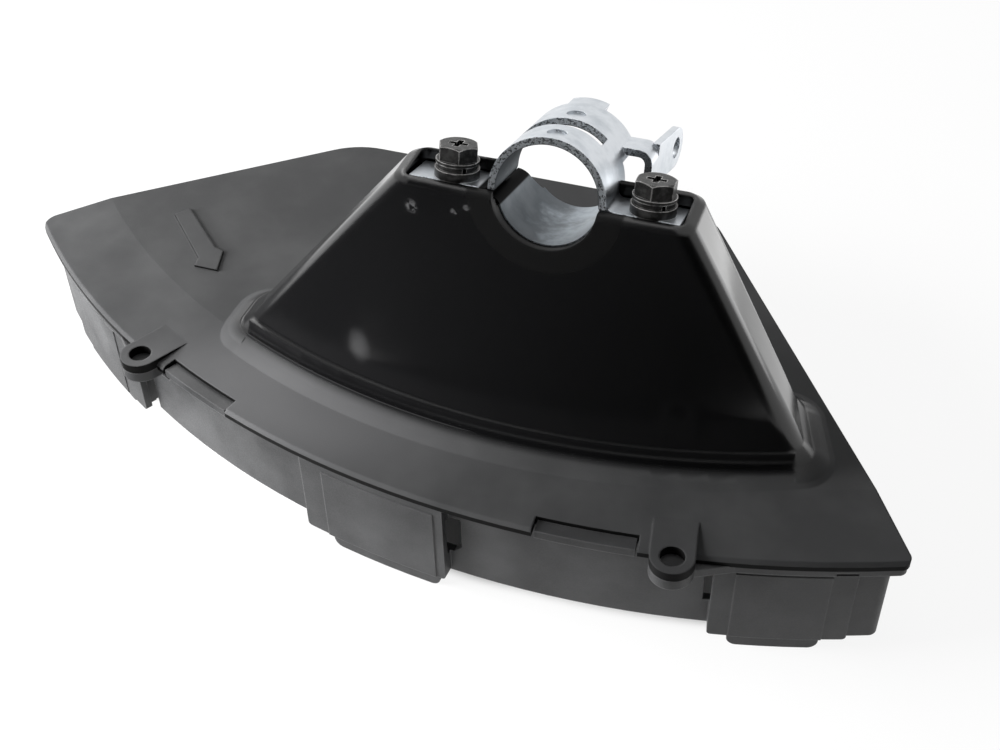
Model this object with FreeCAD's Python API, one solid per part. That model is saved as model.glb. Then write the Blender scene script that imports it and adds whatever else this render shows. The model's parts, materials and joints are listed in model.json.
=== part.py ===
import FreeCAD
import Part
import math
import os

# Blade guard of a grass trimmer, in millimetres.
# Working frame: origin on the centre of the rim arc, X across, -Y towards the rim, Z up,
# Z = 0 on the flat top of the plate. Angles run from -Y towards +X.
# Every piece is moved at the end so that the centre of the tube clamp is the origin.

# Plate of the guard. Edges are given by x and by the distance behind the crown of the rim
RIM_R = 292.4            # radius of the outer rim
PLATE_T = 2.6            # wall of the plate
RIM_BAND = 25.4          # band that falls from the flat top to the rim
RIM_DROP = 2.7           # fall of that band
LEFT_EDGE = ((-205.3, 84.8), (-120.3, 156.8))
RIGHT_EDGE = ((31.0, 145.2), (108.3, 26.4))
BACK_EDGE = 161.4
CORNER_LEFT_R = 5.0
CORNER_RIGHT_R = 2.5
CORNER_BACK_R = 26.0
EDGE_BEVEL = 1.0         # along the top of the rim
CORNERS = (CORNER_LEFT_R, CORNER_BACK_R, CORNER_BACK_R, CORNER_RIGHT_R)

# Rotation arrow moulded on the plate: distance inside the rim and place along it
ARROW_H = 0.7
ARROW_PLAN = ((48.1, -201.1), (45.3, -169.7), (46.5, -165.3), (39.3, -155.9),
              (34.7, -164.3), (37.8, -167.4), (42.0, -200.6))

# Ears, notches and the skirt share one axis of symmetry. Places along the rim are in millimetres
SKIRT_AXIS = -44.4
EAR_OFF = 92.9           # ears left and right of the axis
EAR_OUT = 1.6            # ear hole centres outside the rim
EAR_HOLE_R = RIM_R + EAR_OUT
EAR_HALF_W = 6.4
EAR_HOLE_D = 7.0
EAR_ROOT_R = RIM_R - 14.9
EAR_TOP = -1.4
EAR_BOTTOM = -4.4
NOTCH_OFF = (53.1, 83.2) # notches in the rim, from the axis
NOTCH_DEPTH = 5.0

# Skirt extension
FLANGE_T = 2.7
FLANGE_W = 15.0
FLANGE_OUT_R = RIM_R - 0.4
WALL_R = RIM_R - 5.0     # outside of the skirt wall between the panels
END_WALL_R = RIM_R - 1.8 # outside of the two end walls
WALL_T = 2.4
WALL_BOTTOM = -35.8
RETURN_W = 27.6          # the end walls run this far inwards
END_INSETS = (5.8, 3.2)  # end walls from the side edges of the plate
END_RADII = (7.0, 3.0)
RIM_INSETS = (3.3, 0.2)  # flange of the skirt from the same edges
BACK_R = 12.0
PANEL_R = RIM_R - 0.8    # outer face of the raised panels
PANEL_BOTTOM = -36.2
PANEL_TOP = -6.1
PANEL_CORNER = 1.2
TONGUE_R = RIM_R - 2.8
TONGUE_BOTTOM = -42.7
TONGUE_CORNER = 3.0
STRIP_PROUD = 0.3        # strip above each tongue stands proud of its panel
PANELS = ((-200.6, -149.0), (-68.4, -18.9), (60.2, 100.0))
TONGUES = ((-190.9, -161.3), (-60.2, -21.9), (66.3, 92.9))
HOOK_SLOT = ((-151.4, -48.0), (-146.8, -48.0), (-146.8, -16.0), (-135.5, -16.0), (-134.0, -14.5),
             (-135.5, -12.5), (-151.4, -12.5))
SIDE_WINDOW = ((-21.9, -27.0), (-17.6, -27.0), (-15.0, -24.4), (-15.0, -12.6), (-21.9, -12.6))
SLIT = ((58.2, -26.0), (61.6, -26.0), (61.6, -13.2), (58.2, -13.2))
TOP_SLOT = ((93.4, -7.6), (99.6, -7.6), (99.6, -6.8), (93.4, -6.8))
PANEL_SKIN = 2.4         # skin left in front where a window runs into a panel
LUG_BOTTOM = -8.0
GUSSET_LENGTH = 18.4     # reach of the gusset along the rim
TAB_BOTTOM = -6.2        # hook tabs that fill the notches
TAB_TOP = -3.4
TAB_PLAY = 0.6

# Tube clamp: local frame with x across, y along the tube to the back, z square to the tube
TILT = 14.4              # the tube rises towards the rim
RING_X = 0.4
RING_BACK = 37.7         # front of the ring behind the crown of the rim
RING_Z = 82.8
TUBE_R = 14.0
SHEET = 2.0
RING_OUT = TUBE_R + SHEET
PARTING = -3.2           # plane where the two flanges meet
BEND_R = 1.7             # hollow side of the bends between ring and flange
CLAMP_END = 32.4
SADDLE_FRONT = 2.2
FLANGE_Y = (1.2, 13.4)
SIDE_END = 19.2          # the cap walls under the strip end here
SIDE_LOW = 6.0
SLOT_Y = (11.6, 17.7)
SLOT_HALF = 45.0
SLOT_MID = 94.0
DIMPLE_Y = (5.1, 22.6)
DIMPLE_R = 2.6
DIMPLE_DEEP = 0.7
TAB_END = 37.8
TAB_HALF_W = 5.2
STRIP_Y = (22.8, 32.4)
STRIP_TOP = 8.9
LUG_X = 22.0
LUG_LOW = -2.8
LUG_BEND = 4.0
LUG_FLARE = 4.8
LUG_HOLE = (47.0, 3.0)
LUG_HOLE_D = 6.0
LUG_END_R = 5.8
SADDLE_SLANT = (5.0, -14.0)

# Tower that carries the clamp
TOP_Z = 82.0             # level rim of the tower
TOP_HALF = 38.8          # from the ring to the right end of the rim
TOP_LEFT = TOP_HALF + 3.2
TOP_Y = (34.8, 53.4)     # rim behind the crown of the plate
BACK_SLANT = 0.0172      # the back of the tower runs a little askew
TOP_R = 5.0
TOP_EDGE = 1.3           # bevel round the rim
TOP_SAG = 0.4
TOWER_WALL = 2.8
FACETS = 4               # flats that follow the bowed front inside the tower
RECESS_WALL = 2.5
RECESS_R = 1.5
FLANGE_PLAY = 0.9        # clamp flanges from the walls of the recess
FLANGE_LEFT = TOP_LEFT - RECESS_WALL - FLANGE_PLAY
FLANGE_RIGHT = TOP_HALF - RECESS_WALL - FLANGE_PLAY
BASE_FRONT = ((-107.7, 49.4), (80.0, 44.9))
BASE_RIGHT = 71.5        # the right side leans in towards the back
BASE_BACK = 68.9         # at the ring
BASE_SAG = 20.0
BASE_R = 6.0
FLARE_R = 8.0
FLARE_END = 66.0         # the flare is an arc up to this angle, then runs straight into the plate
FOOT_DEEP = 2.3
SLAB_T = 3.0
CRADLE_WALL = 2.8
NOTCH_CLEAR = 0.4
LIP = 4.6                # chamfer round the mouth of the cradle

# Clamp screws
BOLT_X = TOP_HALF - 11.8
BOLT_Y = 6.6
BOLT_D = 6.0
BOLT_HOLE_D = 6.6
HEAD_AF = 10.0
HEAD_TURN = (52.5, 32.0)  # the two heads stopped at their own angles
HEAD_H = 4.1
CROSS_W = 1.6
CROSS_L = 5.2
CROSS_DEEP = 1.6
COLLAR_OD = 12.2
COLLAR_H = 2.5
SPRING_OD = 11.0
SPRING_H = 1.4
SPRING_SLIT = 1.0
WASHER_OD = 11.8
WASHER_H = 1.0
WASHER_HOLE_D = 6.4
NUT_H = 5.0
NUT_PLAY = 0.3           # the nuts sit in hexagonal pockets
BOLT_TIP = 1.5

LARGE = 2.0 * RIM_R      # tools that cut right through

UP = FreeCAD.Vector(0, 0, 1)
ORIGIN = FreeCAD.Vector(0, 0, 0)
BACKWARD = FreeCAD.Vector(0, 1, 0)
CREASE_R = RIM_R - RIM_BAND
SLOPE = RIM_DROP / RIM_BAND
RING_FRONT = FreeCAD.Vector(RING_X, RING_BACK - RIM_R, RING_Z)


def polar(radius, angle, z=0.0):
    """Point at an angle from -Y towards +X."""
    a = math.radians(angle)
    return FreeCAD.Vector(radius * math.sin(a), -radius * math.cos(a), z)


def along(place):
    """Angle of a place along the rim."""
    return math.degrees(place / RIM_R)


def face_of(points):
    return Part.Face(Part.makePolygon(points + points[:1]))


def turned(points, start, end):
    """Solid turned about Z from a profile of (radius, z) points."""
    face = face_of([polar(r, start, z) for r, z in points])
    return face.revolve(ORIGIN, UP, end - start)


def sector(r_in, r_out, start, end, z0, z1):
    return turned([(r_in, z0), (r_out, z0), (r_out, z1), (r_in, z1)], start, end)


def cylinder(radius, centre, axis, length):
    return Part.makeCylinder(radius, length, centre, axis)


def block(x, y, z):
    """Box from three (low, high) pairs."""
    corner = FreeCAD.Vector(x[0], y[0], z[0])
    return Part.makeBox(x[1] - x[0], y[1] - y[0], z[1] - z[0], corner)


def top_z(radius):
    return -max(0.0, radius - CREASE_R) * SLOPE


def in_plan(edge):
    """Edge with its distances behind the rim turned into y."""
    return tuple((x, back - RIM_R) for x, back in edge)


def line_at(edge, radius):
    """Where a straight edge, run on, reaches a radius about the arc centre."""
    (x0, y0), (x1, y1) = edge
    length = math.hypot(x1 - x0, y1 - y0)
    dx, dy = (x1 - x0) / length, (y1 - y0) / length
    foot = x0 * dx + y0 * dy
    root = math.sqrt(radius ** 2 - (x0 ** 2 + y0 ** 2 - foot ** 2))
    run = min((-foot - root, -foot + root), key=lambda t: y0 + t * dy)
    return x0 + run * dx, y0 + run * dy


def moved_in(edge, distance):
    """Edge shifted towards the inside of the plate."""
    (x0, y0), (x1, y1) = edge
    length = math.hypot(x1 - x0, y1 - y0)
    nx, ny = (y1 - y0) / length, -(x1 - x0) / length
    side = 1.0 if nx * (RING_FRONT.x - x0) + ny * (RING_FRONT.y - y0) > 0 else -1.0
    nx, ny = nx * side * distance, ny * side * distance
    return (x0 + nx, y0 + ny), (x1 + nx, y1 + ny)


def at_y(edge, y):
    (x0, y0), (x1, y1) = edge
    return x0 + (x1 - x0) * (y - y0) / (y1 - y0), y


def outline_prism(radius, insets, corner_radii, z0, z1):
    """Plan of the guard as a prism, its four upright edges rounded."""
    left = moved_in(in_plan(LEFT_EDGE), insets[0])
    right = moved_in(in_plan(RIGHT_EDGE), insets[1])
    back = BACK_EDGE - RIM_R
    corners = [line_at(left, radius), at_y(left, back), at_y(right, back), line_at(right, radius)]
    points = [FreeCAD.Vector(x, y, z0) for x, y in corners]
    sides = [Part.makeLine(points[i], points[i + 1]) for i in range(3)]
    mid = polar(radius, along(SKIRT_AXIS), z0)
    sides.append(Part.Arc(points[3], mid, points[0]).toShape())
    solid = Part.Face(Part.Wire(sides)).extrude(FreeCAD.Vector(0, 0, z1 - z0))
    for (x, y), radius_here in zip(corners, corner_radii):
        upright = [e for e in solid.Edges if is_upright(e, x, y)]
        solid = solid.makeFillet(radius_here, upright)
    return solid


def is_upright(edge, x, y):
    ends = [v.Point for v in edge.Vertexes]
    near = all(math.hypot(p.x - x, p.y - y) < 0.01 for p in ends)
    return near and len(ends) == 2 and abs(ends[0].z - ends[1].z) > 1.0


def to_guard(shape):
    """Clamp frame to working frame."""
    turn = FreeCAD.Rotation(FreeCAD.Vector(1, 0, 0), -TILT)
    placed = shape.copy()
    placed.Placement = FreeCAD.Placement(RING_FRONT, turn)
    return placed


def clamp_point(x, y, z):
    turn = FreeCAD.Rotation(FreeCAD.Vector(1, 0, 0), -TILT)
    return RING_FRONT + turn.multVec(FreeCAD.Vector(x, y, z))


def tower_corners(share):
    """Plan corners of the tower part of the way from the foot (0) to the rim (1), front left first."""
    left, right = RING_X - TOP_LEFT, RING_X + TOP_HALF
    rim = [(left, TOP_Y[0]), (right, TOP_Y[0])]
    rim += [(x, TOP_Y[1] + BACK_SLANT * x) for x in (right, left)]
    base = list(BASE_FRONT)
    base += [(x, BASE_BACK + BACK_SLANT * x) for x in (BASE_RIGHT, BASE_FRONT[0][0])]
    corners = []
    for low, high in zip(in_plan(base), in_plan(rim)):
        foot = FreeCAD.Vector(*low)
        corners.append(foot + (FreeCAD.Vector(*high) - foot) * share)
    return corners


def front_arc(share):
    """Bowed front line of the tower."""
    corners = tower_corners(share)
    sag = BASE_SAG * (1.0 - share) + TOP_SAG * share
    return Part.Arc(corners[0], (corners[0] + corners[1]) * 0.5 - BACKWARD * sag, corners[1]).toShape()


def tower_plan(share, z):
    corners = tower_corners(share)
    sides = [Part.makeLine(corners[i], corners[(i + 1) % 4]) for i in (1, 2, 3)]
    plan = Part.Wire([front_arc(share)] + sides)
    plan.translate(UP * z)
    return plan


def tower_section(share, z, grow):
    """Plan of the tower with its corners rounded and its sides moved out."""
    radius = BASE_R * (1.0 - share) + TOP_R * share
    core = tower_plan(share, z).makeOffset2D(-radius)
    return core.makeOffset2D(radius + grow)


def flare_profile():
    """Height and outward run of the flared foot, from the wall down to the toe under the plate."""
    angles = [math.radians(FLARE_END * part / 2.0) for part in range(3)]
    profile = [(FLARE_R * (1.0 - math.sin(a)), FLARE_R * (1.0 - math.cos(a))) for a in angles]
    height, run = profile[-1]
    return profile + [(-FOOT_DEEP, run + (height + FOOT_DEEP) * math.tan(angles[-1]))]


def about(centre, shape):
    moved = shape.copy()
    moved.translate(FreeCAD.Vector(centre.x, centre.y, 0))
    return moved


def front_flare(profile):
    """Flare along the bowed front, turned about the centre of its arc, and the room that it takes."""
    arc = front_arc(0.0).Curve
    ends = [corner - arc.Center for corner in tower_corners(0.0)[:2]]
    start, end = [math.degrees(math.atan2(e.x, -e.y)) for e in ends]
    margin = math.degrees(1.2 * BASE_R / arc.Radius)
    start, end = start + margin, end - margin
    crowns = [front_arc(share).CenterOfMass.y for share in (0.0, FLARE_R / TOP_Z)]
    lean = (crowns[1] - crowns[0]) / FLARE_R
    curve = [polar(arc.Radius - lean * max(z, 0.0) + run, start, z) for z, run in profile]
    inner = arc.Radius - FLARE_R
    root = [polar(inner, start, -FOOT_DEEP), polar(inner, start, FLARE_R)]
    edges = [Part.Arc(curve[0], curve[1], curve[2]).toShape()]
    chain = [curve[2], curve[3], root[0], root[1], curve[0]]
    edges += [Part.makeLine(chain[i], chain[i + 1]) for i in range(4)]
    flare = Part.Face(Part.Wire(edges)).revolve(ORIGIN, UP, end - start)
    room = sector(inner, arc.Radius + 4.0 * FLARE_R, start, end, -FLARE_R, FLARE_R)
    return about(arc.Center, flare), about(arc.Center, room)


def tower_outer():
    """Tower with a flared foot that runs out into the plate and a bevelled rim."""
    profile = flare_profile()
    rings = []
    for z, run in profile:
        rings.append(tower_section(max(z, 0.0) / TOP_Z, z, run))
    low = TOP_Z - TOP_EDGE
    neck = tower_section(low / TOP_Z, low, 0.0)
    walls = Part.makeLoft([rings[0], neck, tower_section(1.0, TOP_Z, -TOP_EDGE)], True, True)
    front, room = front_flare(profile)
    foot = Part.makeLoft(rings, True, True).cut(room)
    return walls.cut(behind_tower(0.02)).fuse([foot, front]).removeSplitter()


def beyond(point, one, other, outward):
    """Space on the outward side of a plane through a point, spanned by two directions."""
    a = FreeCAD.Vector(one).normalize() * LARGE
    b = FreeCAD.Vector(other).normalize() * LARGE
    return face_of([point - a - b, point + a - b, point + a + b, point - a + b]).extrude(outward * LARGE)


def behind_tower(inset):
    """Space behind the flat back of the tower, moved in by a distance."""
    low, high = tower_corners(0.0), tower_corners(1.0)
    rise = high[2] + UP * TOP_Z - low[2]
    return beyond(low[2] - BACKWARD * inset, low[2] - low[3], rise, BACKWARD)


def above_clamp_plane(level):
    """Space above a plane of the clamp frame."""
    return to_guard(block((-LARGE, LARGE), (-LARGE, LARGE), (level, LARGE)))


def tower_cavity():
    """Hollow of the tower between flat walls, open below, closed by the slab under the clamp."""
    low, high = tower_corners(0.0), tower_corners(1.0)
    room = block((low[0].x, low[1].x), (low[0].y - 2.0 * BASE_SAG, low[2].y), (-3.0 * PLATE_T, TOP_Z))
    across = FreeCAD.Vector(TOWER_WALL, 0, 0)
    rises = [head + UP * TOP_Z - foot for foot, head in zip(low, high)]
    tools = [beyond(low[0] + across, low[3] - low[0], rises[0], FreeCAD.Vector(-1, 0, 0))]
    tools.append(beyond(low[1] - across, low[2] - low[1], rises[1], FreeCAD.Vector(1, 0, 0)))
    feet = front_arc(0.0).discretize(FACETS + 1)
    heads = front_arc(1.0).discretize(FACETS + 1)
    for i in range(FACETS):
        rise = (heads[i] + heads[i + 1] - feet[i] - feet[i + 1]) * 0.5 + UP * TOP_Z
        tools.append(beyond(feet[i] + BACKWARD * TOWER_WALL, feet[i + 1] - feet[i], rise, BACKWARD * -1.0))
    tools.append(behind_tower(TOWER_WALL))
    tools.append(above_clamp_plane(PARTING - SHEET - SLAB_T))
    for tool in tools:
        room = room.cut(tool)
    return room


def recess():
    """Room for the clamp flanges inside the rim of the tower."""
    x = (RING_X - TOP_LEFT + RECESS_WALL, RING_X + TOP_HALF - RECESS_WALL)
    y = (TOP_Y[0] + RECESS_WALL - RIM_R, TOP_Y[1] - RECESS_WALL - RIM_R)
    room = block(x, y, (TOP_Z - 3.0 * RING_OUT, TOP_Z + RING_OUT))
    uprights = [e for e in room.Edges if abs(e.tangentAt(0).z) > 0.9]
    return room.makeFillet(RECESS_R, uprights).common(above_clamp_plane(PARTING - SHEET))


def plate():
    """Flat plate with the falling band and a bevelled rim, cut to plan."""
    inner = RIM_R - BACK_EDGE - 3.0 * CORNER_BACK_R
    shoulder = RIM_R - EDGE_BEVEL
    rim = top_z(RIM_R)
    profile = [(inner, 0.0), (CREASE_R, 0.0), (shoulder, top_z(shoulder)), (RIM_R, rim - EDGE_BEVEL)]
    profile += [(RIM_R, rim - PLATE_T), (CREASE_R, -PLATE_T), (inner, -PLATE_T)]
    outline = outline_prism(RIM_R + 0.02, (0.0, 0.0), CORNERS, -10.0 * PLATE_T, PLATE_T)
    return turned(profile, -80.0, 70.0).common(outline)


def arrow():
    low = -PLATE_T / 2.0
    plan = face_of([polar(RIM_R - inside, along(place), low) for inside, place in ARROW_PLAN])
    return plan.extrude(FreeCAD.Vector(0, 0, ARROW_H - low))


def lug_plan(angle, root_r, z0, z1):
    """Ear plan: a straight tongue with a round end about the hole."""
    tongue = block((-EAR_HALF_W, EAR_HALF_W), (-EAR_HOLE_R, -root_r), (z0, z1))
    end = cylinder(EAR_HALF_W, FreeCAD.Vector(0, -EAR_HOLE_R, z0), UP, z1 - z0)
    ear = tongue.fuse(end).removeSplitter()
    ear.rotate(ORIGIN, UP, angle)
    return ear


def ear_hole(angle, diameter):
    return cylinder(diameter / 2.0, polar(EAR_HOLE_R, angle, -RING_Z), UP, 2.0 * RING_Z)


def ear_angle(side):
    return along(SKIRT_AXIS + side * EAR_OFF)


def notch_span(side, play):
    """Angles of a notch, drawn in by a clearance at both ends."""
    low, high = sorted(SKIRT_AXIS + side * off for off in NOTCH_OFF)
    return along(low + play), along(high - play)


def notch(side):
    start, end = notch_span(side, 0.0)
    return sector(RIM_R - NOTCH_DEPTH, EAR_HOLE_R + EAR_HALF_W, start, end, -10.0 * PLATE_T, 10.0 * PLATE_T)


def screw_axes():
    return [FreeCAD.Vector(side * BOLT_X, BOLT_Y, 0) for side in (-1, 1)]


def local_rod(diameter, centre, z0, z1):
    base = FreeCAD.Vector(centre.x, centre.y, z0)
    return cylinder(diameter / 2.0, base, UP, z1 - z0)


def guard_body(saddle):
    outer = tower_outer()
    inside = outline_prism(RIM_R, (EDGE_BEVEL, EDGE_BEVEL), CORNERS, -10.0 * PLATE_T, 2.0 * TOP_Z)
    body = plate().fuse(outer.common(inside))
    for side in (-1, 1):
        body = body.fuse(lug_plan(ear_angle(side), EAR_ROOT_R, EAR_BOTTOM, EAR_TOP))
    body = body.fuse(arrow())
    for side in (-1, 1):
        body = body.cut(notch(side))
        body = body.cut(ear_hole(ear_angle(side), EAR_HOLE_D))
    body = body.cut(tower_cavity())
    front = FreeCAD.Vector(0, -RING_OUT, 0)
    cradle = cylinder(RING_OUT + CRADLE_WALL, front, BACKWARD, 3.0 * RING_OUT)
    body = body.fuse(to_guard(cradle).cut(above_clamp_plane(PARTING)).common(outer))
    body = body.cut(recess())
    slot = TUBE_R + NOTCH_CLEAR
    tools = [cylinder(RING_OUT, FreeCAD.Vector(0, SADDLE_FRONT, 0), BACKWARD, 4.0 * RING_OUT)]
    tools.append(cylinder(slot, FreeCAD.Vector(0, -2.0 * RING_OUT, 0), BACKWARD, 3.0 * RING_OUT))
    tools.append(block((-slot, slot), (-2.0 * RING_OUT, SADDLE_FRONT), (0.0, 2.0 * RING_OUT)))
    tools.append(block((-RING_OUT, RING_OUT), (-NOTCH_CLEAR, 4.0 * RING_OUT), (PARTING, 2.0 * RING_OUT)))
    tools.append(Part.makeCone(slot + LIP, slot, LIP, FreeCAD.Vector(0, -1.5 * LIP, 0), BACKWARD))
    pocket_top = PARTING - SHEET - SLAB_T
    for centre in screw_axes():
        deep = pocket_top - NUT_H - NUT_PLAY
        tools.append(local_rod(BOLT_HOLE_D, centre, deep - BOLT_TIP, RING_OUT))
        tools.append(hexagon(HEAD_AF + NUT_PLAY, centre, deep, pocket_top, 0.0))
    for tool in tools:
        body = body.cut(to_guard(tool))
    return body.cut(saddle).removeSplitter()


def bend_arc(centre, radius, first, last):
    """Arc about a centre in the plane across the tube, the short way between two directions."""
    middle = (first + last).normalize()
    return Part.Arc(centre + first * radius, centre + middle * radius, centre + last * radius).toShape()


def half_ring(up, y0, y1):
    """Half of the clamp ring, bent out into its two flanges; up is 1 for the cap, -1 for the saddle."""
    face_z = PARTING + up * SHEET
    centre_z = face_z + up * BEND_R
    centre_x = math.sqrt((RING_OUT + BEND_R) ** 2 - centre_z ** 2)
    crown = FreeCAD.Vector(0, 0, up)
    start = FreeCAD.Vector(0, y0, 0)
    ends = (FLANGE_LEFT, FLANGE_RIGHT)
    edges = []
    for side, end in zip((-1, 1), ends):
        centre = FreeCAD.Vector(side * centre_x, 0, centre_z)
        to_ring = (centre * -1.0).normalize()
        centre = centre + start
        for radius, z in ((BEND_R, face_z), (BEND_R + SHEET, PARTING)):
            edges.append(bend_arc(centre, radius, to_ring, crown * -1.0))
            foot = FreeCAD.Vector(side * centre_x, y0, z)
            edges.append(Part.makeLine(foot, FreeCAD.Vector(side * end, y0, z)))
        tips = [FreeCAD.Vector(side * end, y0, z) for z in (PARTING, face_z)]
        edges.append(Part.makeLine(tips[0], tips[1]))
    reach = FreeCAD.Vector(centre_x, 0, centre_z).normalize()
    mirrored = FreeCAD.Vector(-reach.x, 0, reach.z)
    for radius in (TUBE_R, RING_OUT):
        points = [start + mirrored * radius, start + crown * radius, start + reach * radius]
        edges.append(Part.Arc(*points).toShape())
    wire = Part.Wire(Part.__sortEdges__(edges))
    ring = Part.Face(wire).extrude(BACKWARD * (y1 - y0))
    for side in (-1, 1):
        x = sorted((side * RING_OUT, side * 4.0 * RING_OUT))
        for y in ((-RING_OUT, FLANGE_Y[0]), (FLANGE_Y[1], 4.0 * RING_OUT)):
            ring = ring.cut(block(x, y, (-RING_OUT, RING_OUT)))
    return ring


def clamp_saddle():
    saddle = half_ring(-1, SADDLE_FRONT, CLAMP_END)
    end = CLAMP_END + SHEET
    for side in (-1, 1):
        x = side * TUBE_R * 0.7
        corner = [(x, SIDE_END, SADDLE_SLANT[0]), (x, end, SADDLE_SLANT[0]), (x, end, SADDLE_SLANT[1])]
        wedge = face_of([FreeCAD.Vector(*c) for c in corner])
        saddle = saddle.cut(wedge.extrude(FreeCAD.Vector(side * RING_OUT, 0, 0)))
    for centre in screw_axes():
        saddle = saddle.cut(local_rod(BOLT_HOLE_D, centre, -RING_OUT, RING_OUT))
    return saddle.removeSplitter()


def ring_sector(r_in, r_out, y0, y1, start, end):
    """Part of a tube about the local Y axis, angles from +X over +Z."""
    corners = [(r_in, y0), (r_out, y0), (r_out, y1), (r_in, y1)]
    face = face_of([FreeCAD.Vector(r, y, 0) for r, y in corners])
    face.rotate(ORIGIN, FreeCAD.Vector(0, -1, 0), start)
    return face.revolve(ORIGIN, FreeCAD.Vector(0, -1, 0), end - start)


def lug_plate():
    """Strip that leaves the ring, bends down and runs back to the hole."""
    strip = block((TUBE_R / 2.0, LUG_X), STRIP_Y, (STRIP_TOP - SHEET, STRIP_TOP))
    leg = block((LUG_X - SHEET, LUG_X), STRIP_Y, (LUG_LOW, STRIP_TOP))
    bent = strip.fuse(leg).removeSplitter()
    rims = [e for e in bent.Edges if is_strip_edge(e, LUG_X, STRIP_TOP)]
    bent = bent.makeFillet(LUG_BEND, rims)
    rims = [e for e in bent.Edges if is_strip_edge(e, LUG_X - SHEET, STRIP_TOP - SHEET)]
    bent = bent.makeFillet(LUG_BEND - SHEET, rims)
    bent = bent.cut(cylinder(TUBE_R + SHEET / 4.0, ORIGIN, BACKWARD, 4.0 * RING_OUT))
    tip_y, tip_z = LUG_HOLE
    root = STRIP_Y[1] - SHEET
    tail = block((LUG_X - SHEET, LUG_X), (root, tip_y), (tip_z - LUG_END_R, tip_z + LUG_END_R))
    across = FreeCAD.Vector(1, 0, 0)
    tail = tail.fuse(cylinder(LUG_END_R, FreeCAD.Vector(LUG_X - SHEET, tip_y, tip_z), across, SHEET))
    tail = tail.cut(cylinder(LUG_HOLE_D / 2.0, FreeCAD.Vector(0, tip_y, tip_z), across, 4.0 * RING_OUT))
    hinge = FreeCAD.Vector(LUG_X - SHEET, root, 0)
    tail.rotate(hinge, UP, -LUG_FLARE)
    return bent.fuse(tail).removeSplitter()


def is_strip_edge(edge, x, z):
    ends = [v.Point for v in edge.Vertexes]
    return len(ends) == 2 and all(abs(p.x - x) < 0.01 and abs(p.z - z) < 0.01 for p in ends)


def clamp_cap():
    cap = half_ring(1, 0.0, CLAMP_END)
    half = math.degrees(math.asin(TAB_HALF_W / RING_OUT))
    cap = cap.fuse(ring_sector(TUBE_R, RING_OUT, CLAMP_END - SHEET, TAB_END, 90.0 - half, 90.0 + half))
    cap = cap.cut(block((-LARGE, LARGE), (SIDE_END, LARGE), (-RING_OUT, SIDE_LOW)))
    cap = cap.fuse(lug_plate()).removeSplitter()
    reach = (SLOT_MID - SLOT_HALF, SLOT_MID + SLOT_HALF)
    cap = cap.cut(ring_sector(TUBE_R / 2.0, 2.0 * RING_OUT, SLOT_Y[0], SLOT_Y[1], reach[0], reach[1]))
    for y in DIMPLE_Y:
        bottom = FreeCAD.Vector(0, y, RING_OUT - DIMPLE_DEEP)
        cap = cap.cut(cylinder(DIMPLE_R, bottom, UP, SHEET))
    for centre in screw_axes():
        cap = cap.cut(local_rod(BOLT_HOLE_D, centre, -RING_OUT, RING_OUT / 2.0))
    return cap.removeSplitter()


def hexagon(across_flats, centre, z0, z1, turn):
    radius = across_flats / math.sqrt(3.0)
    points = []
    for i in range(6):
        a = math.radians(60.0 * i + turn)
        points.append(FreeCAD.Vector(centre.x + radius * math.cos(a), centre.y + radius * math.sin(a), z0))
    return face_of(points).extrude(FreeCAD.Vector(0, 0, z1 - z0))


def chamfered_hexagon(across_flats, centre, z0, z1, turn):
    """Hexagon with its corners turned off in a cone."""
    solid = hexagon(across_flats, centre, z0, z1, turn)
    flat_r = across_flats / 2.0
    wide = flat_r + 3.0
    drop = 3.0 * math.tan(math.radians(30.0))
    base = FreeCAD.Vector(centre.x, centre.y, z1 - drop)
    turned_cone = Part.makeCone(wide, flat_r, drop, base, UP)
    under = cylinder(wide, FreeCAD.Vector(centre.x, centre.y, z0 - 1.0), UP, z1 - drop - z0 + 1.0)
    return solid.common(turned_cone.fuse(under))


def ring(outer, inner, centre, z0, height):
    return local_rod(outer, centre, z0, z0 + height).cut(local_rod(inner, centre, z0, z0 + height))


def clamp_bolt(centre, under_head, turn):
    head = chamfered_hexagon(HEAD_AF, centre, under_head, under_head + HEAD_H, turn)
    high = under_head + HEAD_H
    top = (high - CROSS_DEEP, high + 1.0)
    half_w, half_l = CROSS_W / 2.0, CROSS_L / 2.0
    along_x = block((centre.x - half_l, centre.x + half_l), (centre.y - half_w, centre.y + half_w), top)
    along_y = block((centre.x - half_w, centre.x + half_w), (centre.y - half_l, centre.y + half_l), top)
    tip = PARTING - SHEET - SLAB_T - NUT_H - BOLT_TIP
    head = head.cut(along_x).cut(along_y)
    return head.fuse(local_rod(BOLT_D, centre, tip, under_head)).removeSplitter()


def spring_washer(centre, z0):
    washer = ring(SPRING_OD, WASHER_HOLE_D, centre, z0, SPRING_H)
    half = SPRING_SLIT / 2.0
    gap = block((-half, half), (-SPRING_OD, 0.0), (z0 - 1.0, z0 + SPRING_H + 1.0))
    gap.rotate(ORIGIN, UP, 40.0)
    gap.translate(FreeCAD.Vector(centre.x, centre.y, 0))
    return washer.cut(gap)


def flange_ring(out_r, start, end):
    """Top flange of the skirt, lying under the falling band of the plate."""
    in_r = FLANGE_OUT_R - FLANGE_W
    profile = [(in_r, top_z(in_r) - PLATE_T), (out_r, top_z(out_r) - PLATE_T)]
    profile += [(out_r, top_z(out_r) - PLATE_T - FLANGE_T), (in_r, top_z(in_r) - PLATE_T - FLANGE_T)]
    return turned(profile, start, end)


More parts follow.
